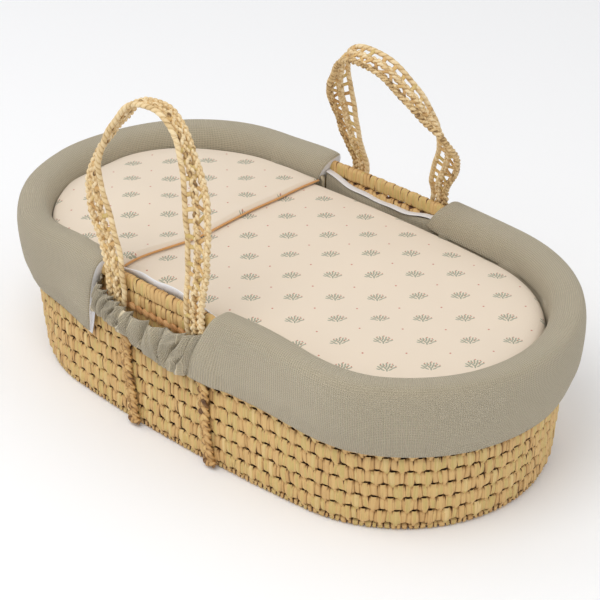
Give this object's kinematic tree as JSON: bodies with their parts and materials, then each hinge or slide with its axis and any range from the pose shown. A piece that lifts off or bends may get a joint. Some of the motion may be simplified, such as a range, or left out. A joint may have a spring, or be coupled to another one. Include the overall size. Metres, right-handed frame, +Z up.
{
  "type": "moses basket",
  "caption": "Oval palm-leaf Moses basket with two hinged carrying handles, padded liner, mattress and printed duvet.",
  "frame": {"origin": "middle of the basket's underside, on the surface it stands on", "axes": "+X towards the foot end, +Y towards the far long side, +Z up"},
  "size_m": [0.8199, 0.4724, 0.4725],
  "materials": {
    "palm_leaf": "dry wrapped palm leaf",
    "palm_plait": "twisted and plaited palm leaf",
    "brown_cord": "twisted brown cord",
    "waffle_fabric": "sage-beige cotton waffle",
    "white_lining": "plain white cotton",
    "elastic": "woven white elastic",
    "mattress_foam": "soft covered foam",
    "printed_cotton": "cream cotton with a small sprig print",
    "ochre_piping": "ochre cotton piping"
  },
  "bodies": {
    "basket": {"wall_row_01": "palm_leaf", "wall_row_02": "palm_leaf", "wall_row_03": "palm_leaf", "wall_row_04": "palm_leaf", "wall_row_05": "palm_leaf", "wall_row_06": "palm_leaf", "wall_row_07": "palm_leaf", "wall_row_08": "palm_leaf", "wall_row_09": "palm_leaf", "base_row_1": "palm_leaf", "base_row_2": "palm_leaf", "base_row_3": "palm_leaf", "base_row_4": "palm_leaf", "base_row_5": "palm_leaf", "base_row_6": "palm_leaf", "base_core": "palm_leaf", "rim_coil": "palm_leaf", "rim_cord": "brown_cord", "near_head_strap": "palm_plait", "near_foot_strap": "palm_plait", "far_head_strap": "palm_plait", "far_foot_strap": "palm_plait", "strap_end_knots": "palm_plait", "head_bumper": "waffle_fabric", "foot_bumper": "waffle_fabric", "head_skirt": "waffle_fabric", "foot_skirt": "waffle_fabric", "near_gusset": "waffle_fabric", "far_gusset": "waffle_fabric", "liner_floor": "white_lining", "head_skirt_lining": "white_lining", "foot_skirt_lining": "white_lining", "near_side_panel": "white_lining", "far_side_panel": "white_lining", "near_panel_binding": "white_lining", "far_panel_binding": "white_lining", "near_elastic": "elastic", "far_elastic": "elastic", "mattress": "mattress_foam", "fitted_sheet": "printed_cotton", "duvet": "printed_cotton", "turn_back": "printed_cotton", "turn_back_piping": "ochre_piping"},
    "near_handle": {"near_outer_cord": "palm_plait", "near_middle_cord": "palm_plait", "near_inner_cord": "palm_plait", "near_handle_ties": "palm_plait"},
    "far_handle": {"far_outer_cord": "palm_plait", "far_middle_cord": "palm_plait", "far_inner_cord": "palm_plait", "far_handle_ties": "palm_plait"}
  },
  "joints": [
    {"name": "near_handle_swing", "type": "hinge", "parent": "basket", "child": "near_handle", "pos_m": [-0.012, -0.22545, 0.216], "axis": [1, 0, 0], "range_deg": [-41, 97]},
    {"name": "far_handle_swing", "type": "hinge", "parent": "basket", "child": "far_handle", "pos_m": [-0.012, 0.22545, 0.216], "axis": [-1, 0, 0], "range_deg": [-23, 115]}
  ]
}
